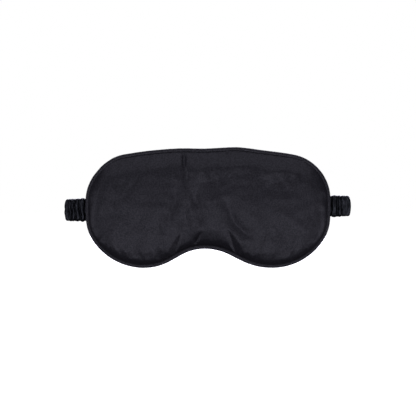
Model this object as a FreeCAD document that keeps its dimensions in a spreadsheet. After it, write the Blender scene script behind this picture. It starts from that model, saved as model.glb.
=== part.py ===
"""A padded satin sleep mask with an elastic strap in a gathered satin sleeve, in millimetres.

The mask stands upright as it is worn: +X runs along its width, +Z points up to the brow, and +Y points
back to the wearer. The origin is the middle of the back panel's outer face, which rests on the face.
Depths are measured forwards from there, along -Y.

The shell is sewn like a flat cushion. A front and a back satin panel meet in a seam plane, each with a
seam allowance turned inwards, and a satin piping with its own flat allowance is sewn between them. Two
layers of wadding and a light-blocking interlining fill the shell. Each end of the strap is caught in a
side seam, between the piping's allowance and the back panel's, which steps back there to make room. The
strap runs outwards, folds back on itself and crosses behind the mask from one side to the other.
"""
import FreeCAD, Part
import math
import os
import Sketcher

SIZES = {
    # Outline of the finished mask, measured to the outside of the piping.
    "half_width": 105.0,
    "widest_height": 2.5,
    "top_height": 51.8,
    "lobe_depth": 51.2,
    "lobe_offset": 55.0,
    "nose_depth": 34.8,
    "top_radius": 450.0,
    "shoulder_radius": 39.0,
    "side_radius": 200.0,
    "cheek_radius": 38.0,
    "lobe_radius": 52.5,
    "nose_radius": 44.0,
    # Shell.
    "cloth": 0.3,
    "mask_depth": 12.0,
    "seam_plane": 4.4,
    "panel_inset": 2.1,
    "allowance_inset": 7.0,
    "front_roll": 6.5,
    "back_roll": 3.4,
    # Piping.
    "piping_radius": 1.0,
    "cord_radius": 0.65,
    "piping_root": 1.85,
    # Filling.
    "clearance": 0.05,
    "padding_inset": 4.2,
    "padding_roll": 4.4,
    "backing_inset": 8.5,
    "backing_roll": 1.0,
    "liner_thickness": 0.5,
    # Seam thread.
    "thread_radius": 0.12,
    "stitch_inset": 3.1,
    "stitch_length": 3.0,
    "stitch_pitch": 4.0,
    # Strap.
    "strap_width": 19.0,
    "strap_thickness": 2.0,
    "strap_edge": 0.8,
    "elastic_width": 16.0,
    "elastic_thickness": 1.0,
    "elastic_play": 0.1,
    "strap_back_offset": 1.5,
    "strap_reach": 18.0,
    "strap_tab_end": 97.0,
    "groove_play": 0.2,
    "tack_rows": 3.0,
    "tack_spacing": 1.0,
    "tack_length": 14.0,
}

doc = FreeCAD.newDocument("sleep_mask")
sheet = doc.addObject("Spreadsheet::Sheet", "Sizes")
for row, (alias, value) in enumerate(SIZES.items(), start=1):
    sheet.set("A%d" % row, alias)
    sheet.set("B%d" % row, str(value))
    sheet.setAlias("B%d" % row, alias)
doc.recompute()

SEAM = "Sizes.seam_plane"
CLOTH = "Sizes.cloth"
FRONT_SEAM = SEAM + " + 0.5 * " + CLOTH
BACK_SEAM = SEAM + " - 0.5 * " + CLOTH
STRAP_DEPTH = "(Sizes.seam_plane - Sizes.piping_radius - Sizes.clearance - 0.5 * Sizes.strap_thickness)"
GROOVE_FLOOR = "(" + STRAP_DEPTH + " - 0.5 * Sizes.strap_thickness - Sizes.clearance)"
GROOVE_HALF_WIDTH = "(0.5 * Sizes.strap_width + Sizes.groove_play)"
ALLOWANCE_END = "Sizes.half_width - Sizes.allowance_inset"
FOLD_RADIUS = "0.5 * (" + STRAP_DEPTH + " + Sizes.strap_back_offset)"
START, END, CENTRE = 1, 2, 3
ORIGIN = (-1, 1)
V_AXIS = -2


def number(expression):
    """The value of an expression over the sheet, as a plain number of millimetres."""
    result = sheet.evalExpression(expression)
    return float(getattr(result, "Value", result))


# ---------------------------------------------------------------- outline

def pull_in(centre, away, distance):
    """The point at a distance from centre, on the side away from another point."""
    span = centre.sub(away)
    return centre.add(span.multiply(distance / span.Length))


def inner_centre(one, one_span, two, two_span, outward):
    """Where circles of two spans about two centres cross, on the side of the direction outward."""
    line = two.sub(one)
    along = (one_span ** 2 - two_span ** 2 + line.Length ** 2) / (2 * line.Length)
    rise = math.sqrt(one_span ** 2 - along ** 2)
    unit = FreeCAD.Vector(line).normalize()
    normal = FreeCAD.Vector(-unit.y, unit.x, 0)
    if normal.dot(outward) < 0:
        normal = normal.negative()
    return one.add(unit * along).add(normal * rise)


def outline_points(inset):
    """Centres, radii and joints of the right half's tangent arcs, at an inset from the outline."""
    v = FreeCAD.Vector
    s = {name: number("Sizes." + name) for name in SIZES}
    radius = {
        "top": s["top_radius"] - inset,
        "shoulder": s["shoulder_radius"] - inset,
        "side": s["side_radius"] - inset,
        "cheek": s["cheek_radius"] - inset,
        "lobe": s["lobe_radius"] - inset,
        "nose": s["nose_radius"] + inset,
    }
    centre = {
        "top": v(0, s["top_height"] - s["top_radius"], 0),
        "side": v(s["half_width"] - s["side_radius"], s["widest_height"], 0),
        "lobe": v(s["lobe_offset"], s["lobe_radius"] - s["lobe_depth"], 0),
        "nose": v(0, -s["nose_depth"] - s["nose_radius"], 0),
    }
    centre["shoulder"] = inner_centre(
        centre["top"], radius["top"] - radius["shoulder"],
        centre["side"], radius["side"] - radius["shoulder"], v(1, 1, 0))
    centre["cheek"] = inner_centre(
        centre["side"], radius["side"] - radius["cheek"],
        centre["lobe"], radius["lobe"] - radius["cheek"], v(1, -1, 0))
    joint = {
        "shoulder_top": pull_in(centre["shoulder"], centre["top"], radius["shoulder"]),
        "shoulder_side": pull_in(centre["shoulder"], centre["side"], radius["shoulder"]),
        "cheek_side": pull_in(centre["cheek"], centre["side"], radius["cheek"]),
        "cheek_lobe": pull_in(centre["cheek"], centre["lobe"], radius["cheek"]),
    }
    # The straight run from the lobe to the nose arch touches the two circles on opposite sides.
    gap = centre["nose"].sub(centre["lobe"])
    heading = math.atan2(gap.y, gap.x) + math.acos((radius["lobe"] + radius["nose"]) / gap.Length)
    normal = v(math.cos(heading), math.sin(heading), 0)
    joint["lobe_run"] = centre["lobe"].add(normal * radius["lobe"])
    joint["nose_run"] = centre["nose"].sub(normal * radius["nose"])
    return centre, radius, joint


def mirrored(point):
    return FreeCAD.Vector(-point.x, point.y, 0)


def arc(centre, radius, begin, finish):
    """A counter-clockwise arc."""
    low = math.atan2(begin.y - centre.y, begin.x - centre.x)
    high = math.atan2(finish.y - centre.y, finish.x - centre.x)
    if high < low:
        high += 2 * math.pi
    circle = Part.Circle(centre, FreeCAD.Vector(0, 0, 1), radius)
    return Part.ArcOfCircle(circle, low, high)


def add_outline(sketch, inset):
    """Adds the mask's closed outline, inset by an expression, with every radius and centre bound."""
    centre, radius, joint = outline_points(number(inset))
    left = {name: mirrored(point) for name, point in joint.items()}
    top = sketch.addGeometry(arc(centre["top"], radius["top"], joint["shoulder_top"], left["shoulder_top"]))
    shoulder = [
        sketch.addGeometry(arc(
            centre["shoulder"], radius["shoulder"], joint["shoulder_side"], joint["shoulder_top"])),
        sketch.addGeometry(arc(
            mirrored(centre["shoulder"]), radius["shoulder"], left["shoulder_top"], left["shoulder_side"])),
    ]
    side = [
        sketch.addGeometry(arc(centre["side"], radius["side"], joint["cheek_side"], joint["shoulder_side"])),
        sketch.addGeometry(arc(
            mirrored(centre["side"]), radius["side"], left["shoulder_side"], left["cheek_side"])),
    ]
    cheek = [
        sketch.addGeometry(arc(centre["cheek"], radius["cheek"], joint["cheek_lobe"], joint["cheek_side"])),
        sketch.addGeometry(arc(
            mirrored(centre["cheek"]), radius["cheek"], left["cheek_side"], left["cheek_lobe"])),
    ]
    lobe = [
        sketch.addGeometry(arc(centre["lobe"], radius["lobe"], joint["lobe_run"], joint["cheek_lobe"])),
        sketch.addGeometry(arc(
            mirrored(centre["lobe"]), radius["lobe"], left["cheek_lobe"], left["lobe_run"])),
    ]
    run = [
        sketch.addGeometry(Part.LineSegment(joint["nose_run"], joint["lobe_run"])),
        sketch.addGeometry(Part.LineSegment(left["lobe_run"], left["nose_run"])),
    ]
    nose = sketch.addGeometry(arc(centre["nose"], radius["nose"], joint["nose_run"], left["nose_run"]))
    joints = [
        (top, START, shoulder[0], END), (top, END, shoulder[1], START),
        (shoulder[0], START, side[0], END), (shoulder[1], END, side[1], START),
        (side[0], START, cheek[0], END), (side[1], END, cheek[1], START),
        (cheek[0], START, lobe[0], END), (cheek[1], END, lobe[1], START),
        (lobe[0], START, run[0], END), (lobe[1], END, run[1], START),
        (run[0], START, nose, START), (run[1], END, nose, END),
    ]
    for one, one_end, two, two_end in joints:
        sketch.addConstraint(Sketcher.Constraint("Tangent", one, one_end, two, two_end))
    for pair in (shoulder, side, cheek, lobe):
        sketch.addConstraint(Sketcher.Constraint("Equal", pair[0], pair[1]))
    for middle in (top, nose):
        sketch.addConstraint(Sketcher.Constraint("PointOnObject", middle, CENTRE, V_AXIS))
    for pair in (side, lobe):
        sketch.addConstraint(Sketcher.Constraint("Symmetric", pair[0], CENTRE, pair[1], CENTRE, V_AXIS))
    smaller = " - (" + inset + ")"
    bind(sketch, "Radius", (top,), "Sizes.top_radius" + smaller)
    bind(sketch, "Radius", (shoulder[0],), "Sizes.shoulder_radius" + smaller)
    bind(sketch, "Radius", (side[0],), "Sizes.side_radius" + smaller)
    bind(sketch, "Radius", (cheek[0],), "Sizes.cheek_radius" + smaller)
    bind(sketch, "Radius", (lobe[0],), "Sizes.lobe_radius" + smaller)
    bind(sketch, "Radius", (nose,), "Sizes.nose_radius + (" + inset + ")")
    bind(sketch, "DistanceY", (top, CENTRE) + ORIGIN, "Sizes.top_radius - Sizes.top_height")
    bind(sketch, "DistanceY", (nose, CENTRE) + ORIGIN, "Sizes.nose_depth + Sizes.nose_radius")
    bind(sketch, "DistanceX", (side[0], CENTRE) + ORIGIN, "Sizes.side_radius - Sizes.half_width")
    bind(sketch, "DistanceY", ORIGIN + (side[0], CENTRE), "Sizes.widest_height")
    bind(sketch, "DistanceX", ORIGIN + (lobe[0], CENTRE), "Sizes.lobe_offset")
    bind(sketch, "DistanceY", ORIGIN + (lobe[0], CENTRE), "Sizes.lobe_radius - Sizes.lobe_depth")


def bind(sketch, kind, picks, expression):
    """Adds a dimension to a sketch, with its value bound to an expression over the sheet."""
    index = sketch.addConstraint(Sketcher.Constraint(kind, *picks, number(expression)))
    sketch.setExpression("Constraints[%d]" % index, expression)


# ---------------------------------------------------------------- bodies and features

def new_body(label):
    body = doc.addObject("PartDesign::Body", label)
    body.Label = label
    return body


def new_sketch(body, name, role, height="0"):
    """A sketch on one of the body's origin planes, moved along its normal by an expression."""
    sketch = body.newObject("Sketcher::SketchObject", name)
    plane = next(item for item in body.Origin.OriginFeatures if item.Role == role)
    sketch.AttachmentSupport = [(plane, "")]
    sketch.MapMode = "FlatFace"
    sketch.setExpression("AttachmentOffset.Base.z", height)
    return sketch


def outline_sketch(body, name, depth, *insets):
    """A sketch facing forwards at a depth, with one closed outline for each inset."""
    sketch = new_sketch(body, name, "XZ_Plane", depth)
    for inset in insets:
        add_outline(sketch, inset)
    return sketch


def pad(body, sketch, length, backwards=False, both=False):
    feature = body.newObject("PartDesign::Pad", "Pad")
    feature.Profile = sketch
    feature.setExpression("Length", length)
    feature.Reversed = backwards
    if both:
        feature.SideType = "Symmetric"
    doc.recompute()
    return feature


def edges_at(shape, depth):
    """Names of the edges that lie in the plane at a depth."""
    return ["Edge%d" % index for index, edge in enumerate(shape.Edges, start=1)
            if max(abs(edge.BoundBox.YMin + depth), abs(edge.BoundBox.YMax + depth)) < 1e-5]


def face_at(shape, depth):
    """Name of the largest face that lies in the plane at a depth."""
    found = [(face.Area, "Face%d" % index) for index, face in enumerate(shape.Faces, start=1)
             if max(abs(face.BoundBox.YMin + depth), abs(face.BoundBox.YMax + depth)) < 1e-5]
    return max(found)[1]


def fillet(body, base, names, radius):
    feature = body.newObject("PartDesign::Fillet", "Fillet")
    feature.Base = (base, names)
    feature.setExpression("Radius", radius)
    doc.recompute()
    return feature


def hollow(body, base, open_depth):
    """Hollows a solid to the cloth's thickness and opens it at a depth."""
    feature = body.newObject("PartDesign::Thickness", "Thickness")
    feature.Base = (base, [face_at(base.Shape, open_depth)])
    feature.Reversed = True
    feature.Join = "Intersection"
    feature.setExpression("Value", CLOTH)
    doc.recompute()
    return feature


# ---------------------------------------------------------------- shell

def front_panel():
    """Satin face panel: a shallow tray with a rolled edge and its seam allowance turned in."""
    body = new_body("front_panel")
    face = outline_sketch(body, "FaceOutline", FRONT_SEAM, "Sizes.panel_inset")
    block = pad(body, face, "Sizes.mask_depth - (" + FRONT_SEAM + ")")
    rolled = fillet(body, block, edges_at(block.Shape, number("Sizes.mask_depth")), "Sizes.front_roll")
    hollow(body, rolled, number(FRONT_SEAM))
    ring = outline_sketch(body, "Allowance", FRONT_SEAM, "Sizes.panel_inset", "Sizes.allowance_inset")
    pad(body, ring, CLOTH)
    return body


def back_panel():
    """Satin panel against the face, stepped back at each side seam, where it wraps the strap's end."""
    body = new_body("back_panel")
    face = outline_sketch(body, "FaceOutline", BACK_SEAM, "Sizes.panel_inset")
    block = pad(body, face, BACK_SEAM, backwards=True)
    rolled = fillet(body, block, edges_at(block.Shape, 0), "Sizes.back_roll")
    grooved = strap_groove(body, "Groove", ALLOWANCE_END)
    assert grooved.Shape.Volume < rolled.Shape.Volume
    hollow(body, grooved, number(BACK_SEAM))
    ring = outline_sketch(body, "Allowance", BACK_SEAM, "Sizes.panel_inset", "Sizes.allowance_inset")
    closed = pad(body, ring, CLOTH, backwards=True)
    mouth = strap_groove(body, "Mouth", "Sizes.strap_tab_end")
    assert mouth.Shape.Volume < closed.Shape.Volume
    return body


def strap_groove(body, name, inner_end):
    """Cuts the two grooves that the strap's ends lie in, from inner_end outwards through the side wall."""
    sketch = new_sketch(body, name + "Outline", "XZ_Plane", BACK_SEAM)
    for side in (-1, 1):
        add_end_rectangle(sketch, side, inner_end, "Sizes.half_width", GROOVE_HALF_WIDTH)
    cut = body.newObject("PartDesign::Pocket", name)
    cut.Profile = sketch
    cut.setExpression("Length", BACK_SEAM + " - " + GROOVE_FLOOR)
    doc.recompute()
    return cut


def add_end_rectangle(sketch, side, near, far, half_height):
    """A rectangle between two distances from the middle, on the side given as -1 or 1."""
    v = FreeCAD.Vector
    half = number(half_height)
    x0, x1 = side * number(near), side * number(far)
    corners = [v(x0, -half, 0), v(x1, -half, 0), v(x1, half, 0), v(x0, half, 0)]
    lines = [sketch.addGeometry(Part.LineSegment(corners[i], corners[(i + 1) % 4])) for i in range(4)]
    for i in range(4):
        sketch.addConstraint(Sketcher.Constraint("Coincident", lines[i], END, lines[(i + 1) % 4], START))
    for i in (0, 2):
        sketch.addConstraint(Sketcher.Constraint("Horizontal", lines[i]))
    for i in (1, 3):
        sketch.addConstraint(Sketcher.Constraint("Vertical", lines[i]))
    for end, distance in ((START, near), (END, far)):
        outwards = ORIGIN + (lines[0], end) if side > 0 else (lines[0], end) + ORIGIN
        bind(sketch, "DistanceX", outwards, distance)
    bind(sketch, "DistanceY", (lines[0], START) + ORIGIN, half_height)
    bind(sketch, "DistanceY", ORIGIN + (lines[2], START), half_height)


# ---------------------------------------------------------------- piping

def piping_sweep(body, name, radius, kind="PartDesign::AdditivePipe"):
    """A round section carried once round the mask in the seam plane."""
    spine = outline_sketch(body, name + "Line", SEAM, "Sizes.piping_radius")
    section = new_sketch(body, name + "Section", "YZ_Plane")
    start = FreeCAD.Vector(-number(SEAM), number("Sizes.top_height - Sizes.piping_radius"), 0)
    ring = section.addGeometry(Part.Circle(start, FreeCAD.Vector(0, 0, 1), number(radius)))
    bind(section, "Radius", (ring,), radius)
    bind(section, "DistanceX", (ring, CENTRE) + ORIGIN, SEAM)
    bind(section, "DistanceY", ORIGIN + (ring, CENTRE), "Sizes.top_height - Sizes.piping_radius")
    doc.recompute()
    pipe = body.newObject(kind, name)
    pipe.Profile = section
    pipe.Spine = (spine, ["Edge%d" % (i + 1) for i in range(len(spine.Shape.Edges))])
    doc.recompute()
    return pipe


def piping_cord():
    """Cotton cord inside the piping."""
    body = new_body("piping_cord")
    piping_sweep(body, "Cord", "Sizes.cord_radius")
    return body


def piping_cover():
    """Satin strip folded round the cord, with its flat allowance between the two panels' allowances."""
    body = new_body("piping_cover")
    piping_sweep(body, "Cover", "Sizes.piping_radius")
    ring = outline_sketch(body, "Allowance", BACK_SEAM, "Sizes.piping_root", "Sizes.allowance_inset")
    pad(body, ring, CLOTH)
    before = body.Shape.Volume
    piping_sweep(
        body, "Bore", "Sizes.cord_radius + Sizes.clearance", "PartDesign::SubtractivePipe")
    assert body.Shape.Volume < before
    return body


# ---------------------------------------------------------------- filling

def padding():
    """Front wadding, between the front panel and the seam allowances."""
    body = new_body("padding")
    depth = "Sizes.mask_depth - " + CLOTH + " - Sizes.clearance"
    foot = FRONT_SEAM + " + " + CLOTH + " + Sizes.clearance"
    block = pad(body, outline_sketch(body, "Outline", foot, "Sizes.padding_inset"),
                depth + " - (" + foot + ")")
    fillet(body, block, edges_at(block.Shape, number(depth)), "Sizes.padding_roll")
    return body


def backing_pad():
    """Thinner wadding inside the ring of seam allowances, behind the front wadding."""
    body = new_body("backing_pad")
    foot = CLOTH + " + Sizes.liner_thickness + 2 * Sizes.clearance"
    top = FRONT_SEAM + " + " + CLOTH
    block = pad(body, outline_sketch(body, "Outline", foot, "Sizes.backing_inset"),
                top + " - (" + foot + ")")
    fillet(body, block, edges_at(block.Shape, number(foot)), "Sizes.backing_roll")
    return body


def blackout_liner():
    """Light-blocking interlining against the inside of the back panel."""
    body = new_body("blackout_liner")
    foot = CLOTH + " + Sizes.clearance"
    pad(body, outline_sketch(body, "Outline", foot, "Sizes.backing_inset"), "Sizes.liner_thickness")
    return body


# ---------------------------------------------------------------- strap

def band_sketch(body, name, half_thickness):
    """The strap seen from above: tabs in the side seams, runs out, folds, and one run behind the mask."""
    sketch = new_sketch(body, name, "XY_Plane")
    v = FreeCAD.Vector
    half = number(half_thickness)
    front = number(STRAP_DEPTH)
    back = number("Sizes.strap_back_offset")
    fold = number(FOLD_RADIUS)
    turn_expression = ("Sizes.half_width + Sizes.strap_reach - 0.5 * Sizes.strap_thickness - ("
                       + FOLD_RADIUS + ")")
    turn = number(turn_expression)
    tab = number("Sizes.strap_tab_end")
    middle = 0.5 * (back - front)

    def line(x0, y0, x1, y1):
        return sketch.addGeometry(Part.LineSegment(v(x0, y0, 0), v(x1, y1, 0)))

    def bend(side, radius):
        return sketch.addGeometry(arc(
            v(side * turn, middle, 0), radius,
            v(side * turn, middle - side * radius, 0), v(side * turn, middle + side * radius, 0)))

    loop = [
        line(tab, -front - half, turn, -front - half),
        bend(1, fold + half),
        line(turn, back + half, -turn, back + half),
        bend(-1, fold + half),
        line(-turn, -front - half, -tab, -front - half),
        line(-tab, -front - half, -tab, -front + half),
        line(-tab, -front + half, -turn, -front + half),
        bend(-1, fold - half),
        line(-turn, back - half, turn, back - half),
        bend(1, fold - half),
        line(turn, -front + half, tab, -front + half),
        line(tab, -front + half, tab, -front - half),
    ]
    smooth = [(0, END, 1, START), (1, END, 2, START), (2, END, 3, START), (3, END, 4, START),
              (6, END, 7, END), (7, START, 8, START), (8, END, 9, END), (9, START, 10, START)]
    for one, one_end, two, two_end in smooth:
        sketch.addConstraint(Sketcher.Constraint("Tangent", loop[one], one_end, loop[two], two_end))
    for one, two in ((4, 5), (5, 6), (10, 11), (11, 0)):
        sketch.addConstraint(Sketcher.Constraint("Coincident", loop[one], END, loop[two], START))
    sketch.addConstraint(Sketcher.Constraint("Horizontal", loop[2]))
    for index in (5, 11):
        sketch.addConstraint(Sketcher.Constraint("Vertical", loop[index]))
    for outer, inner in ((1, 9), (3, 7)):
        sketch.addConstraint(Sketcher.Constraint("Coincident", loop[outer], CENTRE, loop[inner], CENTRE))
    sketch.addConstraint(Sketcher.Constraint("Equal", loop[1], loop[3]))
    sketch.addConstraint(Sketcher.Constraint("Equal", loop[7], loop[9]))
    sketch.addConstraint(Sketcher.Constraint("Horizontal", loop[0]))
    sketch.addConstraint(Sketcher.Constraint("Horizontal", loop[4]))
    bind(sketch, "Radius", (loop[1],), FOLD_RADIUS + " + " + half_thickness)
    bind(sketch, "Radius", (loop[9],), FOLD_RADIUS + " - " + half_thickness)
    bind(sketch, "DistanceX", ORIGIN + (loop[1], CENTRE), turn_expression)
    bind(sketch, "DistanceX", (loop[3], CENTRE) + ORIGIN, turn_expression)
    bind(sketch, "DistanceY", (loop[1], CENTRE) + ORIGIN,
         "0.5 * (" + STRAP_DEPTH + " - Sizes.strap_back_offset)")
    bind(sketch, "DistanceX", ORIGIN + (loop[0], START), "Sizes.strap_tab_end")
    bind(sketch, "DistanceX", (loop[4], END) + ORIGIN, "Sizes.strap_tab_end")
    return sketch


def strap_elastic():
    """Woven elastic that runs the strap's whole length."""
    body = new_body("strap_elastic")
    pad(body, band_sketch(body, "Band", "0.5 * Sizes.elastic_thickness"), "Sizes.elastic_width", both=True)
    return body


def strap_cover():
    """Gathered satin sleeve round the elastic, at its gathered thickness."""
    body = new_body("strap_cover")
    outside = pad(body, band_sketch(body, "Sleeve", "0.5 * Sizes.strap_thickness"),
                  "Sizes.strap_width", both=True)
    half_width = 0.5 * number("Sizes.strap_width")
    tab = number("Sizes.strap_tab_end")
    long_edges = ["Edge%d" % index for index, edge in enumerate(outside.Shape.Edges, start=1)
                  if abs(edge.BoundBox.ZLength) < 1e-6
                  and abs(abs(edge.BoundBox.ZMax) - half_width) < 1e-6
                  and not (edge.BoundBox.XLength < 1e-6 and abs(abs(edge.BoundBox.XMax) - tab) < 1e-6)]
    fillet(body, outside, long_edges, "Sizes.strap_edge")
    before = body.Shape.Volume
    cavity = body.newObject("PartDesign::Pocket", "Cavity")
    cavity.Profile = band_sketch(
        body, "CavityBand", "(0.5 * Sizes.elastic_thickness + Sizes.elastic_play)")
    cavity.SideType = "Symmetric"
    cavity.setExpression("Length", "Sizes.elastic_width + 2 * Sizes.elastic_play")
    doc.recompute()
    assert body.Shape.Volume < before
    return body


# ---------------------------------------------------------------- thread

def seam_thread():
    """Lockstitches round the seam: a row on the front allowance and a row on the back allowance."""
    centre, radius, joint = outline_points(number("Sizes.stitch_inset"))
    left = {name: mirrored(point) for name, point in joint.items()}
    order = [
        arc(centre["top"], radius["top"], joint["shoulder_top"], left["shoulder_top"]),
        arc(mirrored(centre["shoulder"]), radius["shoulder"], left["shoulder_top"], left["shoulder_side"]),
        arc(mirrored(centre["side"]), radius["side"], left["shoulder_side"], left["cheek_side"]),
        arc(mirrored(centre["cheek"]), radius["cheek"], left["cheek_side"], left["cheek_lobe"]),
        arc(mirrored(centre["lobe"]), radius["lobe"], left["cheek_lobe"], left["lobe_run"]),
        Part.LineSegment(left["lobe_run"], left["nose_run"]),
        arc(centre["nose"], radius["nose"], joint["nose_run"], left["nose_run"]),
        Part.LineSegment(joint["nose_run"], joint["lobe_run"]),
        arc(centre["lobe"], radius["lobe"], joint["lobe_run"], joint["cheek_lobe"]),
        arc(centre["cheek"], radius["cheek"], joint["cheek_lobe"], joint["cheek_side"]),
        arc(centre["side"], radius["side"], joint["cheek_side"], joint["shoulder_side"]),
        arc(centre["shoulder"], radius["shoulder"], joint["shoulder_side"], joint["shoulder_top"]),
    ]
    seam = Part.Wire(Part.__sortEdges__([piece.toShape() for piece in order]))
    count = int(seam.Length / number("Sizes.stitch_pitch"))
    marks = seam.discretize(Number=2 * count + 1)
    thread = number("Sizes.thread_radius")
    length = number("Sizes.stitch_length")
    front = -number(FRONT_SEAM + " + " + CLOTH) - thread
    back = -number(BACK_SEAM + " - " + CLOTH) + thread
    tacked = number(GROOVE_HALF_WIDTH + " + " + CLOTH + " + Sizes.stitch_length")
    stitches = []
    for index in range(count):
        begin, finish = marks[2 * index], marks[2 * index + 1]
        heading = finish.sub(begin).normalize()
        direction = FreeCAD.Vector(heading.x, 0, heading.y)
        at_strap = abs(begin.x) > number(ALLOWANCE_END) and abs(begin.y) < tacked
        for level in (front,) if at_strap else (front, back):
            foot = FreeCAD.Vector(begin.x, level, begin.y)
            stitches.append(Part.makeCylinder(thread, length, foot, direction))
    feature = doc.addObject("Part::Feature", "seam_thread")
    feature.Label = "seam_thread"
    feature.Shape = Part.makeCompound(stitches)
    return feature


def strap_tack(label, side):
    """Rows of thread across one strap end, on the back of the allowance that wraps it."""
    thread = number("Sizes.thread_radius")
    length = number("Sizes.tack_length")
    spacing = number("Sizes.tack_spacing")
    level = -number(GROOVE_FLOOR + " - " + CLOTH) + thread
    first = number(ALLOWANCE_END) + 0.5 * spacing
    rows = []
    for index in range(int(number("Sizes.tack_rows"))):
        foot = FreeCAD.Vector(side * (first + index * spacing), level, -0.5 * length)
        rows.append(Part.makeCylinder(thread, length, foot, FreeCAD.Vector(0, 0, 1)))
    feature = doc.addObject("Part::Feature", label)
    feature.Label = label
    feature.Shape = Part.makeCompound(rows)
    return feature


subparts = [
    front_panel(),
    back_panel(),
    piping_cover(),
    piping_cord(),
    padding(),
    backing_pad(),
    blackout_liner(),
    seam_thread(),
    strap_cover(),
    strap_elastic(),
    strap_tack("strap_tack_left", -1),
    strap_tack("strap_tack_right", 1),
]
doc.recompute()

for item in doc.Objects:
    if {"Invalid", "Error"} & set(item.State):
        raise RuntimeError("%s did not build: %s" % (item.Label, item.State))
for item in subparts:
    if item.Shape.isNull() or not item.Shape.isValid():
        raise RuntimeError("%s has no valid shape" % item.Label)

os.makedirs("parts", exist_ok=True)
for item in subparts:
    item.Shape.exportStep("parts/%s.step" % item.Label)
    box = item.Shape.BoundBox
    print("%-18s %3d solids %9.1f mm3   x %.2f %.2f  y %.2f %.2f  z %.2f %.2f" % (
        item.Label, len(item.Shape.Solids), item.Shape.Volume,
        box.XMin, box.XMax, box.YMin, box.YMax, box.ZMin, box.ZMax))
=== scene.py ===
"""A padded satin sleep mask with a gathered elastic strap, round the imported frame. Metres.

The mask stands upright as it is worn: +X is its width, +Z its height, and the front faces -Y.
"""

import math

import bpy
import numpy as np
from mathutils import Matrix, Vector, noise
from mathutils.geometry import delaunay_2d_cdt


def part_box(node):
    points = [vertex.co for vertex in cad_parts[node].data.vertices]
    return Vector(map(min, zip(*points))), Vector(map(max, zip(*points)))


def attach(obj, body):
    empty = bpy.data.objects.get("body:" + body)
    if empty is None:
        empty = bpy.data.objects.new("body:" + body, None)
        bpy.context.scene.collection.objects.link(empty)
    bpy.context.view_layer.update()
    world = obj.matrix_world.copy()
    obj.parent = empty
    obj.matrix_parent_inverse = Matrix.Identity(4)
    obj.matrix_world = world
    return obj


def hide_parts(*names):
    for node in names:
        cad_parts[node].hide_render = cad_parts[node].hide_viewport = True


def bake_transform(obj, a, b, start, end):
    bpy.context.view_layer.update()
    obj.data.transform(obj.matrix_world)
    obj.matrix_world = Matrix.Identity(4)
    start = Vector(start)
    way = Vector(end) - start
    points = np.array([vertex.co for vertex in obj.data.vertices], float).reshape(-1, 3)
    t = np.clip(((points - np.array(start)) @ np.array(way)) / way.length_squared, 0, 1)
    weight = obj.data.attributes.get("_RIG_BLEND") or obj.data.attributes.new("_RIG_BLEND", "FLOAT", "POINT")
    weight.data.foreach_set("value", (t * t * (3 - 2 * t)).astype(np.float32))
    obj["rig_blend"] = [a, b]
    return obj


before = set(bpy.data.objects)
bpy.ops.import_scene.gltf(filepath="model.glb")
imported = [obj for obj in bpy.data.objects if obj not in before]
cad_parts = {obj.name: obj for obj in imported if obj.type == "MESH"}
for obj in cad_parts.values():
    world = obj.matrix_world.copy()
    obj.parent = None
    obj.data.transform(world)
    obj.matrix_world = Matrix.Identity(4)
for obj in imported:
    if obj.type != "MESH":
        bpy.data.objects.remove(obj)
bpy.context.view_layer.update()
MM = 0.001

# ---------------------------------------------------------------- sizes, from the frame
PIPING_LOW, PIPING_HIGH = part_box("piping_cover")
HALF_WIDTH = PIPING_HIGH.x
TOP = PIPING_HIGH.z
LOBE = -PIPING_LOW.z
SEAM_Y = 0.5 * (PIPING_LOW.y + PIPING_HIGH.y)
PIPING_RADIUS = 0.5 * (PIPING_HIGH.y - PIPING_LOW.y)
FRONT_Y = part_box("front_panel")[0].y
BACK_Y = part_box("back_panel")[1].y
CORD_LOW, CORD_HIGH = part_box("piping_cord")
CORD_RADIUS = 0.5 * (CORD_HIGH.y - CORD_LOW.y)
ELASTIC_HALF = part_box("strap_elastic")[1].z
SLEEVE_LOW, SLEEVE_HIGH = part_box("strap_cover")
CLOTH = 0.3 * MM

# The outline's arcs. They repeat the CAD's, since the frame only gives the boxes round them.
TOP_RADIUS = 450 * MM
SHOULDER_RADIUS = 39 * MM
SIDE_RADIUS = 200 * MM
CHEEK_RADIUS = 38 * MM
LOBE_RADIUS = 52.5 * MM
NOSE_RADIUS = 44 * MM
NOSE_TOP = 34.8 * MM
LOBE_X = 55 * MM
WIDEST_Z = 2.5 * MM


# ---------------------------------------------------------------- outline
def crossing(one, one_span, two, two_span, outward):
    """Where circles of two spans about two centres cross, on the side of the direction outward."""
    line = two - one
    length = np.hypot(*line)
    along = (one_span ** 2 - two_span ** 2 + length ** 2) / (2 * length)
    unit = line / length
    normal = np.array([-unit[1], unit[0]])
    normal *= np.sign(normal @ outward)
    return one + unit * along + normal * math.sqrt(one_span ** 2 - along ** 2)


def angle_of(vector):
    return math.atan2(vector[1], vector[0])


def arc_points(centre, radius, begin, finish, hollow=False, step=0.25 * MM):
    """Points and outward directions along an arc, from one angle to another."""
    angles = np.linspace(begin, finish, max(3, int(abs(finish - begin) * radius / step)))
    away = np.column_stack([np.cos(angles), np.sin(angles)])
    return centre + radius * away, -away if hollow else away


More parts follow.
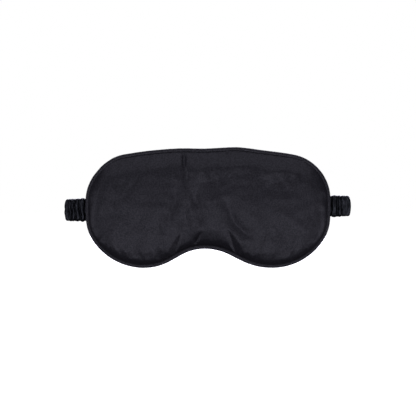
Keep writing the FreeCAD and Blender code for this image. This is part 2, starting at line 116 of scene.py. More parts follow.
def half_outline():
    """The right half's points and outward directions, clockwise from the middle of the top edge."""
    top = np.array([0, TOP - TOP_RADIUS])
    side = np.array([HALF_WIDTH - SIDE_RADIUS, WIDEST_Z])
    lobe = np.array([LOBE_X, LOBE_RADIUS - LOBE])
    nose = np.array([0, -NOSE_TOP - NOSE_RADIUS])
    shoulder = crossing(top, TOP_RADIUS - SHOULDER_RADIUS, side, SIDE_RADIUS - SHOULDER_RADIUS,
                        np.array([1, 1]))
    cheek = crossing(side, SIDE_RADIUS - CHEEK_RADIUS, lobe, LOBE_RADIUS - CHEEK_RADIUS,
                     np.array([1, -1]))
    gap = nose - lobe
    heading = angle_of(gap) + math.acos((LOBE_RADIUS + NOSE_RADIUS) / np.hypot(*gap))
    top_end, side_start = angle_of(shoulder - top), angle_of(shoulder - side)
    side_end, lobe_start = angle_of(cheek - side), angle_of(cheek - lobe)
    pieces = [
        arc_points(top, TOP_RADIUS, math.pi / 2, top_end),
        arc_points(shoulder, SHOULDER_RADIUS, top_end, side_start),
        arc_points(side, SIDE_RADIUS, side_start, side_end),
        arc_points(cheek, CHEEK_RADIUS, side_end, lobe_start),
        arc_points(lobe, LOBE_RADIUS, lobe_start, heading),
        arc_points(nose, NOSE_RADIUS, heading + math.pi, math.pi / 2, hollow=True),
    ]
    return [np.concatenate(part) for part in zip(*pieces)]


def outline(count):
    """Evenly spaced points round the mask, with their outward directions: two arrays of (x, z)."""
    points, away = half_outline()
    mirror = np.array([-1, 1])
    points = np.concatenate([points, (points * mirror)[-2:0:-1], points[:1]])
    away = np.concatenate([away, (away * mirror)[-2:0:-1], away[:1]])
    run = np.concatenate([[0], np.cumsum(np.hypot(*np.diff(points, axis=0).T))])
    at = np.linspace(0, run[-1], count, endpoint=False)
    even = np.column_stack([np.interp(at, run, points[:, i]) for i in (0, 1)])
    facing = np.column_stack([np.interp(at, run, away[:, i]) for i in (0, 1)])
    return even, facing / np.hypot(*facing.T)[:, None]


# ---------------------------------------------------------------- shared shaping
UP = np.array([0, 0, 1])
BACKWARDS = np.array([0, 1, 0])


def smooth(value, low, high):
    """0 below low, 1 above high, and an even climb between them."""
    part = np.clip((value - low) / (high - low), 0, 1)
    return part * part * (3 - 2 * part)


def hump(value, middle, reach):
    """1 at the middle, fading to nothing a few reaches away."""
    return np.exp(-((value - middle) / reach) ** 2)


def mixed(one, two, share):
    """one where the share is 0, two where it is 1, and a blend between them."""
    return one + (two - one) * share


def set_askew(points):
    """Moves points (x, y, z) as hand sewing leaves them, a little out of true with the pattern.

    Places and moves are in millimetres.
    """
    x, y, z = points.T / MM
    upper, lower = smooth(z, 5, 45), smooth(-z, 10, 40)
    shoulder = hump(x, -95, 22) * hump(z, 32, 18)
    up = upper * (0.9 * hump(x, 27, 13) - 1.0 * hump(x, -4, 15)) - 0.9 * shoulder
    along = 0.9 * shoulder - 2.8 * lower * hump(x, 0, 38)
    return np.column_stack([x + along, y, z + up]) * MM


def speckle(points, step, seed):
    """Smooth noise between -1 and 1 at each point, with features about a step across."""
    offset = Vector((17.3, 4.1, 9.7)) * seed
    return np.array([noise.noise(Vector(p) / step + offset) for p in points])


def mesh_object(name, points, faces):
    """A smooth-shaded mesh object in the scene."""
    mesh = bpy.data.meshes.new(name)
    mesh.from_pydata([tuple(p) for p in points], [], faces)
    mesh.shade_smooth()
    obj = bpy.data.objects.new(name, mesh)
    bpy.context.scene.collection.objects.link(obj)
    return obj


def apply_modifier(obj, kind, **settings):
    """Adds a modifier and makes its result the object's own mesh."""
    modifier = obj.modifiers.new(kind, kind)
    for key, value in settings.items():
        setattr(modifier, key, value)
    graph = bpy.context.evaluated_depsgraph_get()
    mesh = bpy.data.meshes.new_from_object(obj.evaluated_get(graph))
    obj.modifiers.remove(modifier)
    obj.data = mesh


def attribute(obj, name):
    """An (n, 3) array of a mesh's vertex positions (co) or normals (normal)."""
    flat = np.empty(len(obj.data.vertices) * 3)
    obj.data.vertices.foreach_get(name, flat)
    return flat.reshape(-1, 3)


def move_vertices(obj, points):
    obj.data.vertices.foreach_set("co", np.asarray(points).ravel())
    obj.data.update()


def tube(path, radius, sides, closed=False):
    """Points and faces of a tube along a path that never runs backwards; radius is a number or an array."""
    count = len(path)
    if closed:
        heading = np.roll(path, -1, axis=0) - np.roll(path, 1, axis=0)
    else:
        heading = np.gradient(path, axis=0)
    side = np.cross(heading, BACKWARDS)
    side /= np.linalg.norm(side, axis=1, keepdims=True)
    turn = np.linspace(0, 2 * math.pi, sides, endpoint=False)
    reach = np.broadcast_to(radius, (count, sides))[..., None]
    ring = np.cos(turn)[None, :, None] * side[:, None] + np.sin(turn)[None, :, None] * BACKWARDS
    points = (path[:, None] + reach * ring).reshape(-1, 3)
    return points, grid_faces(count, sides, closed, True)


def grid_faces(rows, columns, wrap_rows=False, wrap_columns=False):
    """Quads over points laid out row by row."""
    faces = []
    for i in range(rows if wrap_rows else rows - 1):
        k = (i + 1) % rows
        for j in range(columns if wrap_columns else columns - 1):
            m = (j + 1) % columns
            faces.append((i * columns + j, i * columns + m, k * columns + m, k * columns + j))
    return faces


# ---------------------------------------------------------------- the padded shell
EDGE_COUNT = 280
# Rings of points that follow the edge: on a panel's face, and on the allowance turned in behind it.
EDGE_INSETS = np.array([2.4, 2.75, 3.2, 3.9, 4.9, 6.0, 7.3]) * MM
FLANGE_INSETS = np.array([2.8, 3.8, 5.3, 7.0]) * MM
# The rings, counted from the edge, at which the layers inside begin.
FRONT_WADDING_RING = 4
BACKING_RING = 6
GRID_STEP = 2.0 * MM
HALF_SEAM = 0.5 * CLOTH + 0.02 * MM
TOP_ROLL = 10 * MM
LOW_ROLL = 6.2 * MM
FRONT_CROWN = 1.8 * MM
FRONT_RISE = SEAM_Y - FRONT_Y - HALF_SEAM - FRONT_CROWN - 0.5 * MM
RIDGE_Z = 2 * MM
BACK_ROLL = 7 * MM
BACK_RISE = BACK_Y - SEAM_Y - HALF_SEAM - 0.1 * MM
# The strap runs a little downhill to the left. It leaves each side seam by a slot, where the back steps out
# over it.
STRAP_TILT = 0.0149
STRAP_GAP_Y = SLEEVE_LOW.y + 2.07 * MM
SLOT_HALF = 9.9 * MM
SLOT_OUTER_HALF = 11.8 * MM


def depth_inside(points):
    """How far points lie inside the outline; negative outside."""
    edge, away = outline(1400)
    depth = np.empty(len(points))
    for begin in range(0, len(points), 500):
        part = points[begin:begin + 500]
        gap = part[:, None] - edge[None]
        near = np.argmin((gap ** 2).sum(2), axis=1)
        depth[begin:begin + 500] = -(gap[np.arange(len(part)), near] * away[near]).sum(1)
    return depth


def panel_layout():
    """A flat panel's points (x, z), their depths inside the outline, and its triangles.

    The first points are the rings that follow the edge, outermost first; a staggered grid fills the rest.
    """
    edge, away = outline(EDGE_COUNT)
    rings = np.concatenate([edge - away * inset for inset in EDGE_INSETS])
    row_step = GRID_STEP * math.sqrt(3) / 2
    rows = np.arange(-LOBE, TOP, row_step)
    columns = np.arange(-HALF_WIDTH, HALF_WIDTH, GRID_STEP)
    grid = np.array([(x + (i % 2) * GRID_STEP / 2, z) for i, z in enumerate(rows) for x in columns])
    grid_depth = depth_inside(grid)
    keep = grid_depth > EDGE_INSETS[-1] + 0.7 * GRID_STEP
    points = np.concatenate([rings, grid[keep]])
    depth = np.concatenate([np.repeat(EDGE_INSETS, EDGE_COUNT), grid_depth[keep]])
    border = [(i, (i + 1) % EDGE_COUNT) for i in range(EDGE_COUNT)]
    made = delaunay_2d_cdt([Vector(p / MM) for p in points], border, [], 1, 1e-6)
    faces = np.array(made[2])
    a, b, c = (points[faces[:, i]] for i in range(3))
    turn = (b - a)[:, 0] * (c - a)[:, 1] - (b - a)[:, 1] * (c - a)[:, 0]
    return points, depth, np.where((turn < 0)[:, None], faces[:, ::-1], faces)


def rise(depth, height, roll, plump=1.0):
    """The climb of a padded edge: nothing at the seam, the whole height a roll further in.

    plump runs from 0, a gentle slope, to 1, a steep bulge.
    """
    part = np.clip((depth - EDGE_INSETS[0]) / roll, 0, 1)
    return height * (1 - (1 - part) ** (1.6 + 0.7 * plump)) ** (1 / (1 + 0.7 * plump))


def front_roll(z):
    """How far the front's edge takes to climb: the filling has settled towards the bottom."""
    return mixed(LOW_ROLL, TOP_ROLL, smooth(z, -28 * MM, 28 * MM))


def front_crown(x, z, depth):
    """The filling's extra height towards a soft ridge that runs from side to side."""
    blunt = 3 * MM + 12 * MM * hump(x, 3 * MM, 24 * MM)
    wander = 1.5 * MM * np.sin(x / (13 * MM)) * np.sin(x / (31 * MM) + 1)
    fall = (np.hypot(z - RIDGE_Z - wander, blunt) - blunt) / LOBE + 0.25 * (x / HALF_WIDTH) ** 2
    return FRONT_CROWN * (1 - fall) * smooth(depth, 2 * MM, 17 * MM)


# The simulation runs enlarged, since Blender's cloth is tuned for things metres across. A negative shrinkage
# is cloth to spare. Of its result, the broad swell is kept up to a limit, and the fine wrinkles in part.
SIM_SCALE = 12
SIM_FRAMES = 20
PRESSURE = 0.5
SHRINKAGE = -0.02
FURTHEST_SWELL = 0.8 * MM
EDGE_WRINKLES = 0.45
MIDDLE_WRINKLES = 0.3


def puffed(points, faces, pinned):
    """How far each point moves in a cloth simulation that blows up the closed shell against its seam."""
    pillow = mesh_object("puffing", points * SIM_SCALE, faces.tolist())
    pillow.vertex_groups.new(name="seam").add(pinned, 1.0, "REPLACE")
    cloth = pillow.modifiers.new("Cloth", "CLOTH")
    settings = cloth.settings
    settings.quality = 5
    settings.vertex_group_mass = "seam"
    settings.bending_stiffness = 0.5
    settings.use_pressure = True
    settings.uniform_pressure_force = PRESSURE
    settings.shrink_min = SHRINKAGE
    settings.effector_weights.gravity = 0
    cloth.point_cache.frame_start = 1
    cloth.point_cache.frame_end = SIM_FRAMES
    for step in range(1, SIM_FRAMES + 1):
        bpy.context.scene.frame_set(step)
    graph = bpy.context.evaluated_depsgraph_get()
    flat = np.empty(len(points) * 3)
    pillow.evaluated_get(graph).data.vertices.foreach_get("co", flat)
    bpy.context.scene.frame_set(1)
    bpy.data.objects.remove(pillow)
    return flat.reshape(-1, 3) / SIM_SCALE - points


def evened(values, faces, rounds):
    """Values at the points of a mesh, averaged with their neighbours over and over."""
    pairs = np.concatenate([faces[:, [0, 1]], faces[:, [1, 2]], faces[:, [2, 0]]])
    one, two = np.concatenate([pairs, pairs[:, ::-1]]).T
    count = np.bincount(one, minlength=len(values))[:, None]
    for _ in range(rounds):
        total = np.column_stack([np.bincount(one, values[two, k], len(values)) for k in range(3)])
        values = 0.4 * values + 0.6 * total / count
    return values


def shell():
    """The front and back panels' points, their depths inside the outline, and their shared triangles."""
    flat, depth, faces = panel_layout()
    x, z = flat.T
    plump = 1 - smooth(z, -20 * MM, 35 * MM)
    height = rise(depth, FRONT_RISE, front_roll(z), plump) + front_crown(x, z, depth)
    front = np.column_stack([x, SEAM_Y - HALF_SEAM - height, z])
    back = np.column_stack([x, SEAM_Y + HALF_SEAM + rise(depth, BACK_RISE, BACK_ROLL), z])
    count = len(flat)
    renamed = np.arange(count)
    renamed[EDGE_COUNT:] += count - EDGE_COUNT
    closed = np.concatenate([faces, renamed[faces][:, ::-1]])
    move = puffed(np.concatenate([front, back[EDGE_COUNT:]]), closed, list(range(EDGE_COUNT)))
    swell = evened(move, closed, 40)
    length = np.linalg.norm(swell, axis=1, keepdims=True)
    kept = swell * np.minimum(1, FURTHEST_SWELL / np.maximum(length, 1e-9))
    gain = mixed(EDGE_WRINKLES, MIDDLE_WRINKLES, smooth(depth, 8 * MM, 20 * MM))
    gain = np.concatenate([gain, gain[EDGE_COUNT:]])[:, None]
    move = gain * (move - swell) + kept
    front = front + move[:count]
    back[EDGE_COUNT:] += 0.5 * move[count:]
    back[:, 1] = np.minimum(back[:, 1], BACK_Y + 0.3 * MM)
    # The slots: within reach of the strap's line, and only near the sides.
    across = np.abs(z - STRAP_TILT * x)
    beside = smooth(-across, -SLOT_OUTER_HALF, -SLOT_HALF) * smooth(-depth, -12 * MM, -6 * MM)
    stepped = STRAP_GAP_Y + rise(depth, BACK_Y - STRAP_GAP_Y, 5 * MM)
    at_end = beside * (np.abs(x) > 0.8 * HALF_WIDTH)
    back[:, 1] = mixed(back[:, 1], stepped, at_end)
    return front, back, depth, faces


# Creases of the front, each a bent line of (x, z, half width, height) in millimetres. A valley's height is
# negative.
CREASES = [
    # Below the brow.
    [(-20.5, 52, 1.7, -1.8), (-20.6, 40, 1.5, -2.1), (-20.0, 29, 1.7, -1.9), (-19, 16, 1.6, 0)],
    [(-28, 51, 3.0, 0.8), (-28, 40, 2.0, 0)],
    [(-6.5, 39, 6.0, 0), (-6.5, 31, 6.5, 1.5), (-6.5, 22, 6.0, 0)],
    [(27, 42, 6.0, 0), (28, 36, 6.5, 0.9), (29, 28, 6.0, 0)],
    [(55, 39, 9.0, 0), (58, 31, 10.0, 1.2), (60, 22, 9.0, 0)],
    [(-47, 38, 8.0, 0), (-50, 31, 9.0, 0.4), (-50, 22, 8.0, 0)],
    [(15, 51, 2.6, -1.2), (16.6, 45, 2.8, -1.3), (17.5, 38, 2.0, 0)],
    [(31, 50, 3.0, -0.5), (30, 39, 2.0, 0)],
    [(-52, 48, 3.0, -0.4), (-50, 38, 2.0, 0)],
    # Up from the nose.
    [(-11.5, -29, 1.6, -0.9), (-6.5, -21.5, 1.0, -0.3), (-5.5, -20, 1.0, 0)],
    # Across the middle.
    [(-18.7, 7, 2.0, 0), (-18.7, -1, 4.0, -0.7), (-18.5, -11, 6.5, -1.6), (-18, -24, 8.0, -1.3),
     (-17.5, -36, 9.0, 0)],
    [(-9, 24, 5.0, 0), (-10, 4, 4.5, -1.5), (-7, -7, 4.5, -0.9), (-4, -17, 4.5, 0)],
    [(-27, 24, 5.0, 0), (-28, 4, 4.5, -1.4), (-31, -7, 4.5, -0.8), (-34, -16, 4.5, 0)],
    [(-36, 0, 3.5, 0), (-38, -7, 4.0, -0.6), (-39.5, -14, 4.0, -0.6), (-38, -23, 3.5, 0)],
    [(13, 10, 4.5, 0), (17, 0, 4.8, -1.3), (23, -13, 4.6, -1.4), (31, -21, 4.2, -1.2), (41, -28, 3.6, 0)],
    [(49, -19, 1.6, 0), (47.5, -26, 1.7, -0.6), (45.5, -33, 1.5, -0.6), (44, -39, 1.2, 0)],
    # Soft hollows over the eyes.
    [(58, -17, 8.0, 0), (68, -21, 9.0, -0.5), (80, -23, 8.0, 0)],
    [(-54, -11, 8.0, 0), (-64, -15, 9.0, -0.5), (-74, -20, 8.0, 0)],
]


def along_line(points, line):
    """How far points are from a bent line, and where on it they are nearest, counted in its corners."""
    nearest, at = np.full(len(points), np.inf), np.zeros(len(points))
    for index, (begin, finish) in enumerate(zip(line[:-1], line[1:])):
        span = np.hypot(*(finish - begin))
        unit = (finish - begin) / span
        reach = np.clip((points - begin) @ unit, 0, span)
        gap = np.hypot(*(points - begin - reach[:, None] * unit).T)
        at = np.where(gap < nearest, index + reach / span, at)
        nearest = np.minimum(nearest, gap)
    return nearest, at


def crease_height(points):
    """The front's height from its creases at points (x, y, z) of the panel."""
    flat = set_askew(points)[:, [0, 2]]
    total = np.zeros(len(points))
    for crease in CREASES:
        line = np.array(crease, float) * MM
        gap, at = along_line(flat, line[:, :2])
        width, height = (np.interp(at, np.arange(len(line)), line[:, k]) for k in (2, 3))
        total += height * np.exp(-(gap / width) ** 1.35)
    lumps = 0.5 * MM * speckle(points, 19 * MM, 21) + 0.2 * MM * speckle(points, 7 * MM, 22)
    return total + lumps


# Where the nose seam draws the front in: x of each pinch's foot in millimetres, how far it leans per depth,
# the slope of its floor, and the slopes of its left and right walls.
PINCHES = [(-30.0, 0.36, 0.41, 0.34, 0.8), (-14.0, 0.55, 0.48, 1.1, 0.8), (25.0, -0.42, 0.42, 0.8, 0.34)]
PINCH_BLEND = 0.35 * MM


def pinched(height, points, depth):
    """Heights above the seam, cut back to the pinches' sloping floors and walls."""
    flat = set_askew(points)
    for foot, lean, slope, left, right in PINCHES:
        beside = flat[:, 0] - foot * MM - lean * depth
        wall = np.where(beside < 0, -left * beside, right * beside)
        cut = slope * (depth - EDGE_INSETS[0]) + wall + (1 - smooth(-flat[:, 2], 10 * MM, 18 * MM)) * 40 * MM
        middle, half = 0.5 * (height + cut), 0.5 * (height - cut)
        height = middle - np.sqrt(half ** 2 + PINCH_BLEND ** 2) + PINCH_BLEND
        height = np.minimum(height, middle + np.abs(half))
    return height


def creased(points, depth):
    """The front's depths (y) once its creases are in; no valley reaches down to the seam."""
    height = SEAM_Y - HALF_SEAM - points[:, 1]
    lift = crease_height(points) * smooth(depth, 2.0 * MM, 4.0 * MM)
    sunk = np.minimum(pinched(height, points, depth), height)
    return SEAM_Y - HALF_SEAM - np.maximum(sunk + lift, 0.35 * sunk)


def panel(name, points, faces, toward):
    """A cut panel: its face, and its seam allowance turned in behind it. toward is -1 for the front."""
    edge, away = outline(EDGE_COUNT)
    level = points[:EDGE_COUNT, 1]
    rings = [np.column_stack([(edge - away * inset)[:, 0], level, (edge - away * inset)[:, 1]])
             for inset in FLANGE_INSETS]
    starts = [0] + [len(points) + k * EDGE_COUNT for k in range(len(rings))]
    following = (np.arange(EDGE_COUNT) + 1) % EDGE_COUNT
    quads = []
    for first, second in zip(starts, starts[1:]):
        ring = np.column_stack([first + np.arange(EDGE_COUNT), second + np.arange(EDGE_COUNT),
                                second + following, first + following])
        quads += ring[:, ::-toward].tolist()
    obj = mesh_object(name, np.concatenate([points, *rings]), faces[:, ::-toward].tolist() + quads)
    apply_modifier(obj, "SUBSURF", levels=1)
    return obj


def thicken(obj, thickness):
    """Gives a sheet its cloth's thickness, on the side away from its normals."""
    apply_modifier(obj, "SOLIDIFY", thickness=thickness, offset=-1)
    obj.data.shade_smooth()


def flat_map(obj):
    """A UV map that lays the piece flat in the unit square, so that the satin's threads run up the mask."""
    layer = obj.data.uv_layers.new(name="UVMap")
    corners = np.empty(len(obj.data.loops), int)
    obj.data.loops.foreach_get("vertex_index", corners)
    layer.data.foreach_set("uv", (attribute(obj, "co")[corners][:, [0, 2]] * 4 + 0.5).ravel())


def panel_normals(points, faces, toward):
    """A panel's normals, pointing out of the mask. toward is -1 for the front."""
    probe = mesh_object("probe", points, faces.tolist())
    normals = attribute(probe, "normal")
    bpy.data.objects.remove(probe)
    return normals * (toward * np.sign(normals[:, 1].sum()))


def inside_ring(count, faces, ring):
    """Which of a panel's points lie on a ring or inside it, and the faces between them, renumbered."""
    keep = np.arange(count) >= ring * EDGE_COUNT
    renamed = np.cumsum(keep) - 1
    return keep, renamed[faces[keep[faces].all(axis=1)]]


def filling(name, points, normals, faces, ring, gap, level, fuzz):
    """A closed layer of filling under a panel, from a ring inwards: gap below it, down to a level."""
    keep, kept = inside_ring(len(points), faces, ring)
    top = points[keep] - normals[keep] * gap
    top += normals[keep] * (fuzz * speckle(top, 2.5 * MM, 3))[:, None]
    bottom = top.copy()
    bottom[:, 1] = level
    count = len(top)
    rim = [(i, (i + 1) % EDGE_COUNT, (i + 1) % EDGE_COUNT + count, i + count) for i in range(EDGE_COUNT)]
    return mesh_object(name, np.concatenate([top, bottom]),
                       kept.tolist() + (kept[:, ::-1] + count).tolist() + rim)


# ---------------------------------------------------------------- piping and thread
PIPING_COUNT = 560
CORD_INSET = PIPING_RADIUS
PIPING_HALF_WIDTH = 1.5 * MM
STITCH_INSET = 3.1 * MM
STITCH_LENGTH = 3.0 * MM
STITCH_PITCH = 4.0 * MM
THREAD_RADIUS = 0.12 * MM
TACK_X = 99.5 * MM
TACK_POINTS = 29
CORD_COUNT = 900
CORD_STRANDS = 3
CORD_TWISTS = 44


def on_edge(edge, away, inset, y):
    """Points (x, y, z) beside the edge, at an inset and a depth that may vary along it."""
    flat = edge - away * np.broadcast_to(inset, len(edge))[:, None]
    return np.column_stack([flat[:, 0], np.broadcast_to(y, len(edge)), flat[:, 1]])


def piping_strip():
    """The piping's strip, folded round its cord with both edges laid together in the seam."""
    edge, away = outline(PIPING_COUNT)
    lumps = 1 + 0.05 * speckle(on_edge(edge, away, 0, 0), 6 * MM, 5) \
        + 0.05 * speckle(on_edge(edge, away, 0, 0), 1.8 * MM, 6)
    # The flat leg in the seam, from the raw edge out: insets, and gaps from the seam, in millimetres.
    leg = [(7.0, 0.14), (5.4, 0.14), (4.2, 0.14), (3.3, 0.16), (2.95, 0.32)]
    rings = [on_edge(edge, away, inset * MM, SEAM_Y - gap * MM) for inset, gap in leg]
    half = []
    for angle in np.radians(np.linspace(140, 0, 10)):
        half.append((PIPING_HALF_WIDTH * (1 - np.cos(angle) * lumps),
                     np.sin(angle) ** 0.75 * (PIPING_RADIUS - 0.5 * CLOTH) * lumps))
    rings += [on_edge(edge, away, inset, SEAM_Y - gap) for inset, gap in half]
    rings += [on_edge(edge, away, inset, SEAM_Y + gap) for inset, gap in half[-2::-1]]
    rings += [on_edge(edge, away, inset * MM, SEAM_Y + gap * MM) for inset, gap in leg[::-1]]
    points = np.stack(rings, axis=1).reshape(-1, 3)
    obj = mesh_object("piping_strip", points, grid_faces(PIPING_COUNT, len(rings), wrap_rows=True))
    thicken(obj, CLOTH)
    return obj


def twisted_cord():
    """The three-strand cotton cord in the piping."""
    edge, away = outline(CORD_COUNT)
    path = on_edge(edge, away, CORD_INSET, SEAM_Y)
    lay = np.arange(CORD_COUNT)[:, None] * (2 * math.pi * CORD_STRANDS * CORD_TWISTS / CORD_COUNT)
    around = np.linspace(0, 2 * math.pi, 12, endpoint=False)[None]
    radius = 0.88 * CORD_RADIUS * (1 + 0.12 * np.cos(CORD_STRANDS * around + lay))
    points, faces = tube(path, radius, 12, closed=True)
    return mesh_object("piping_cord_twisted", points, faces)


def seam_stitches():
    """The lockstitch through the allowances: a row of dashes on each side, broken off at the back's slots."""
    edge, away = outline(2800)
    run = np.concatenate([[0], np.cumsum(np.hypot(*np.diff(edge, axis=0).T))])
    points, faces = [], []
    taper = np.sin(np.radians([12, 50, 90, 130, 168]))[:, None] * THREAD_RADIUS
    for number in range(int(run[-1] / STITCH_PITCH)):
        at = number * STITCH_PITCH + np.linspace(0, STITCH_LENGTH, 5)
        index = np.searchsorted(run, at).clip(0, len(edge) - 1)
        here = edge[index[2]]
        beside_strap = abs(here[0]) > 0.9 * HALF_WIDTH and abs(here[1]) < 14 * MM
        for toward in (-1, 1):
            if beside_strap and toward == 1:
                continue
            y = SEAM_Y + toward * (CLOTH + 0.5 * THREAD_RADIUS)
            ring, quads = tube(on_edge(edge[index], away[index], STITCH_INSET, y),
                               np.repeat(taper, 6, axis=1), 6)
            before = sum(map(len, points))
            faces += [tuple(i + before for i in quad) for quad in quads]
            points.append(ring)
    return mesh_object("seam_stitches", np.concatenate(points), faces)


def bar_tack(name, side):
    """Zigzag stitches across one strap end, under the back panel."""
    corner = np.arange(TACK_POINTS)
    across = np.linspace(-7, 7, TACK_POINTS) * MM
    x = side * (TACK_X + np.where(corner % 2 == 0, -1, 1) * 0.9 * MM)
    y = np.full(TACK_POINTS, STRAP_GAP_Y + CLOTH + THREAD_RADIUS)
    at = np.linspace(0, TACK_POINTS - 1, 4 * TACK_POINTS - 3)
    path = [np.interp(at, corner, values) for values in (x, y, across + STRAP_TILT * x)]
    points, faces = tube(np.column_stack(path), THREAD_RADIUS, 6)
    return mesh_object(name, points, faces)


# ---------------------------------------------------------------- strap
SLEEVE_THICKNESS = 2.0 * MM
TAB_X = HALF_WIDTH - 8 * MM
FRONT_RUN_Y = SLEEVE_LOW.y + 0.5 * SLEEVE_THICKNESS
BACK_RUN_Y = SLEEVE_HIGH.y - 0.5 * SLEEVE_THICKNESS
FOLD_RADIUS = 0.5 * (BACK_RUN_Y - FRONT_RUN_Y)
FOLD_X = SLEEVE_HIGH.x - 0.5 * SLEEVE_THICKNESS - FOLD_RADIUS
SLEEVE_HALF = SLEEVE_HIGH.z
ELASTIC_THICKNESS = 1.0 * MM
FRONT_RUN = FOLD_X - TAB_X
FOLD_RUN = math.pi * FOLD_RADIUS
STRAP_RUN = FRONT_RUN + FOLD_RUN + FOLD_X
SPLIT_X = FOLD_X - 2 * MM
STRAP_CUTS = (SPLIT_X - TAB_X, FRONT_RUN + FOLD_RUN + FOLD_X - SPLIT_X)
# The share of the pull that the fold follows by, and the place where the strap follows it fully.
FOLD_FOLLOW = 0.07
MIDDLE_X = 20 * MM
# Gathers: nothing dips further than the deepest one, or the elastic would show.
GATHER_PITCH = 3.9 * MM
DEEPEST_GATHER = 0.47 * MM
# How far the fold's edges are drawn in, on the left (-1) and the right (1).
FOLD_ROUNDING = {-1: 1.0 * MM, 1: 1.7 * MM}
# Where the sleeve's cloth is drawn in beside the mask, as distances from the middle.
VALLEYS = {
    -1: [105.4, 109.6, 114.0, 117.2, 120.4, 122.9],
    1: [105.9, 111.5, 114.6],
}


def strap_steps(count):
    """Distances along the strap, nearly even, with one exactly at each cut between its pieces."""
    run = np.linspace(0, STRAP_RUN, count)
    for cut in STRAP_CUTS:
        run[np.abs(run - cut).argmin()] = cut
    return run


def strap_path(run):
    """The strap's centreline (x, y) and its heading, at distances from its end inside the right-hand seam."""
    angle = np.clip((run - FRONT_RUN) / FOLD_RADIUS, 0, math.pi)
    x = TAB_X + np.minimum(run, FRONT_RUN) + FOLD_RADIUS * np.sin(angle) \
        - np.maximum(run - FRONT_RUN - FOLD_RUN, 0)
    y = 0.5 * (FRONT_RUN_Y + BACK_RUN_Y) - FOLD_RADIUS * np.cos(angle)
    return np.column_stack([x, y]), np.column_stack([np.cos(angle), np.sin(angle)])


def flat_oval(half_width, half_thickness, count):
    """A flat tube's section: points and outward directions (across, out), evenly spaced round it."""
    straight = 2 * (half_width - half_thickness)
    bend = math.pi * half_thickness
    at = np.linspace(0, 2 * (straight + bend), count, endpoint=False)
    lap = straight + bend
    second = at >= lap
    at = np.where(second, at - lap, at)
    angle = np.clip((at - straight) / half_thickness, 0, math.pi)
    across = np.minimum(at, straight) - 0.5 * straight + half_thickness * np.sin(angle)
    out = half_thickness * np.cos(angle)
    facing = np.column_stack([np.sin(angle), np.cos(angle)])
    sign = np.where(second, 1, -1)[:, None]
    return np.column_stack([across, out]) * sign, facing * sign


def swept(run, section, facing, height):
    """Points of a tube round the strap's path; height moves each one outwards from the section."""
    centre, heading = strap_path(run)
    outer = np.column_stack([heading[:, 1], -heading[:, 0], np.zeros(len(run))])
    middle = np.column_stack([centre, STRAP_TILT * centre[:, 0]])
    section = section + facing * height[..., None]
    return middle[:, None] + section[..., :1] * UP + section[..., 1:] * outer[:, None]


def on_side(points, side):
    """The same points, mirrored across the middle and tilted the other way for the left side."""
    if side == 1:
        return points
    return points * np.array([-1, 1, 1]) - 2 * STRAP_TILT * points[..., :1] * UP


def gathers(run, around, side):
    """How far the gathered cloth stands out at distances along the strap and places round it."""
    rng = np.random.default_rng(40 + side)
    beside = [(v * MM - TAB_X) if v * MM < FOLD_X else FRONT_RUN + (v * MM - FOLD_X) for v in VALLEYS[side]]
    valleys = [0, *beside]
    while valleys[-1] < STRAP_RUN - 2.5 * GATHER_PITCH:
        valleys.append(valleys[-1] + GATHER_PITCH * rng.uniform(0.75, 1.25))
    valleys += [STRAP_RUN - GATHER_PITCH, STRAP_RUN, STRAP_RUN + GATHER_PITCH]
    places = np.stack(np.meshgrid(side * (STRAP_RUN - run), around, [0], indexing="ij"), -1).reshape(-1, 3)
    wander = side * speckle(places, 9 * MM, 11).reshape(len(run), -1)
    vary = speckle(places, 5 * MM, 12).reshape(len(run), -1)
    phase = np.interp(run[:, None] + 1.5 * MM * wander, valleys, np.arange(len(valleys)))
    wave = np.abs(np.sin(math.pi * phase)) ** 0.75 - 0.25
    # The gathers lie flatter round the folds, and over a longer stretch on the right.
    if side == 1:
        calm = 0.6 * smooth(run, 17.5 * MM, 20 * MM) * smooth(-run, -44 * MM, -30 * MM)
    else:
        calm = 0.45 * hump(run, FRONT_RUN + 0.5 * FOLD_RUN, 2.5 * MM)
    strength = 1.2 * smooth(run, 7 * MM, 9.5 * MM) * (1 - calm)
    return wave * strength[:, None] * (1 + 0.3 * vary)


def row_normals(points):
    """Unit normals at the points of a tube laid out row by row, facing outwards."""
    along = np.gradient(points, axis=0)
    round_it = np.roll(points, -1, axis=1) - np.roll(points, 1, axis=1)
    normal = np.cross(along, round_it)
    normal /= np.maximum(np.linalg.norm(normal, axis=2, keepdims=True), 1e-12)
    outward = points - points.mean(axis=1, keepdims=True)
    return normal * np.sign((normal * outward).sum(axis=(1, 2)))[:, None, None]


def blend_start(follow):
    """The share of the way from start to end at which a blended piece follows the far body this much."""
    return 0.5 - math.sin(math.asin(1 - 2 * follow) / 3)


